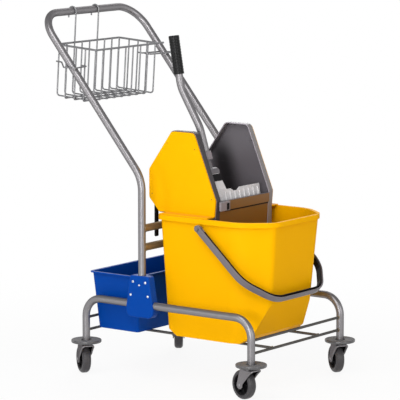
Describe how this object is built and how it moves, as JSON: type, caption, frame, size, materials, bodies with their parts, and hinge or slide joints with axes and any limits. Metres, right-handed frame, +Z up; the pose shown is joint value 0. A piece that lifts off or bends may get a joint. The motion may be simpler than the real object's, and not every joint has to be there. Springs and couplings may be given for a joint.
{
  "type": "mop bucket trolley",
  "caption": "Wheeled cleaning trolley: tubular frame on swivel casters with a tall bucket and lever wringer, a low side bucket, a push handle and a wire basket.",
  "frame": {"origin": "on the floor, midway between the four caster posts", "axes": "+X the way the trolley is pushed, +Y its left side, +Z up"},
  "size_m": [0.8196, 0.552, 1.0597],
  "materials": {
    "frame_paint": "satin silver-grey powder coat",
    "wire_coat": "satin grey coat over round wire",
    "yellow_plastic": "moulded, semi-gloss",
    "blue_plastic": "moulded, semi-gloss",
    "grey_plastic": "moulded, fine texture",
    "light_grey_plastic": "moulded, fine texture",
    "bail_grey": "moulded, satin",
    "dark_plastic": "moulded, satin",
    "bumper_rubber": "smooth grey rubber",
    "tyre_rubber": "smooth grey rubber",
    "grip_rubber": "ribbed black rubber",
    "zinc": "bright zinc plate"
  },
  "bodies": {
    "trolley": {"right_side_rail": "frame_paint", "left_side_rail": "frame_paint", "front_cross_rods": "frame_paint", "rear_cross_rods": "frame_paint", "bucket_support_rods": "frame_paint", "push_handle": "frame_paint", "upper_brace": "frame_paint", "lower_brace": "frame_paint", "post_bumpers": "bumper_rubber", "stem_sockets": "dark_plastic", "right_bracket_outer": "blue_plastic", "right_bracket_inner": "blue_plastic", "left_bracket_outer": "blue_plastic", "left_bracket_inner": "blue_plastic", "bracket_screws": "zinc", "basket_rim": "wire_coat", "basket_hooks": "wire_coat", "basket_long_wires": "wire_coat", "basket_cross_wires": "wire_coat", "basket_clasps": "wire_coat"},
    "water_bucket": {"yellow_bucket": "yellow_plastic", "bail_pins": "bail_grey"},
    "bail": {"bail_handle": "bail_grey"},
    "wringer": {"wringer_chute": "grey_plastic", "right_cheek_shell": "grey_plastic", "left_cheek_shell": "grey_plastic", "right_cheek_cover": "yellow_plastic", "left_cheek_cover": "yellow_plastic", "cover_screws": "zinc", "wringer_latch": "light_grey_plastic", "rear_hooks": "dark_plastic", "pivot_shaft": "zinc", "shaft_retainer": "dark_plastic"},
    "press_lever": {"lever_bush": "dark_plastic", "lever_hub": "grey_plastic", "lever_tube": "frame_paint", "lever_grip": "grip_rubber", "press_plate": "light_grey_plastic"},
    "side_bucket": {"blue_bucket": "blue_plastic"},
    "rear_right_caster": {"rear_right_caster_fork": "frame_paint", "rear_right_caster_stem": "zinc", "rear_right_wheel_axle": "zinc"},
    "rear_right_wheel": {"rear_right_wheel_hub": "dark_plastic", "rear_right_wheel_tyre": "tyre_rubber"},
    "rear_left_caster": {"rear_left_caster_fork": "frame_paint", "rear_left_caster_stem": "zinc", "rear_left_wheel_axle": "zinc"},
    "rear_left_wheel": {"rear_left_wheel_hub": "dark_plastic", "rear_left_wheel_tyre": "tyre_rubber"},
    "front_right_caster": {"front_right_caster_fork": "frame_paint", "front_right_caster_stem": "zinc", "front_right_wheel_axle": "zinc"},
    "front_right_wheel": {"front_right_wheel_hub": "dark_plastic", "front_right_wheel_tyre": "tyre_rubber"},
    "front_left_caster": {"front_left_caster_fork": "frame_paint", "front_left_caster_stem": "zinc", "front_left_wheel_axle": "zinc"},
    "front_left_wheel": {"front_left_wheel_hub": "dark_plastic", "front_left_wheel_tyre": "tyre_rubber"}
  },
  "joints": [
    {"name": "water_bucket_lift", "type": "slide", "parent": "trolley", "child": "water_bucket", "axis": [0, 0, 1], "range_m": [0, 0.2]},
    {"name": "bail_swing", "type": "hinge", "parent": "water_bucket", "child": "bail", "pos_m": [0.086, 0, 0.462], "axis": [0, -1, 0], "range_deg": [0, 105]},
    {"name": "wringer_lift", "type": "slide", "parent": "water_bucket", "child": "wringer", "axis": [0, 0, 1], "range_m": [0, 0.12]},
    {"name": "lever_pull", "type": "hinge", "parent": "wringer", "child": "press_lever", "pos_m": [0.042, 0, 0.605], "axis": [0, 1, 0], "range_deg": [0, 45]},
    {"name": "side_bucket_lift", "type": "slide", "parent": "trolley", "child": "side_bucket", "axis": [0, 0, 1], "range_m": [0, 0.19]},
    {"name": "rear_right_swivel", "type": "hinge", "parent": "trolley", "child": "rear_right_caster", "pos_m": [-0.295, -0.2225, 0.0959], "axis": [0, 0, 1], "continuous": true},
    {"name": "rear_right_roll", "type": "hinge", "parent": "rear_right_caster", "child": "rear_right_wheel", "pos_m": [-0.31957, -0.20529, 0.042], "axis": [-0.5736, -0.8192, 0], "continuous": true},
    {"name": "rear_left_swivel", "type": "hinge", "parent": "trolley", "child": "rear_left_caster", "pos_m": [-0.295, 0.2225, 0.0959], "axis": [0, 0, 1], "continuous": true},
    {"name": "rear_left_roll", "type": "hinge", "parent": "rear_left_caster", "child": "rear_left_wheel", "pos_m": [-0.31263, 0.24677, 0.042], "axis": [-0.809, -0.5878, 0], "continuous": true},
    {"name": "front_right_swivel", "type": "hinge", "parent": "trolley", "child": "front_right_caster", "pos_m": [0.295, -0.2225, 0.0959], "axis": [0, 0, 1], "continuous": true},
    {"name": "front_right_roll", "type": "hinge", "parent": "front_right_caster", "child": "front_right_wheel", "pos_m": [0.26589, -0.21524, 0.042], "axis": [-0.2419, -0.9703, 0], "continuous": true},
    {"name": "front_left_swivel", "type": "hinge", "parent": "trolley", "child": "front_left_caster", "pos_m": [0.295, 0.2225, 0.0959], "axis": [0, 0, 1], "continuous": true},
    {"name": "front_left_roll", "type": "hinge", "parent": "front_left_caster", "child": "front_left_wheel", "pos_m": [0.27073, 0.24013, 0.042], "axis": [-0.5878, -0.809, 0], "continuous": true}
  ]
}
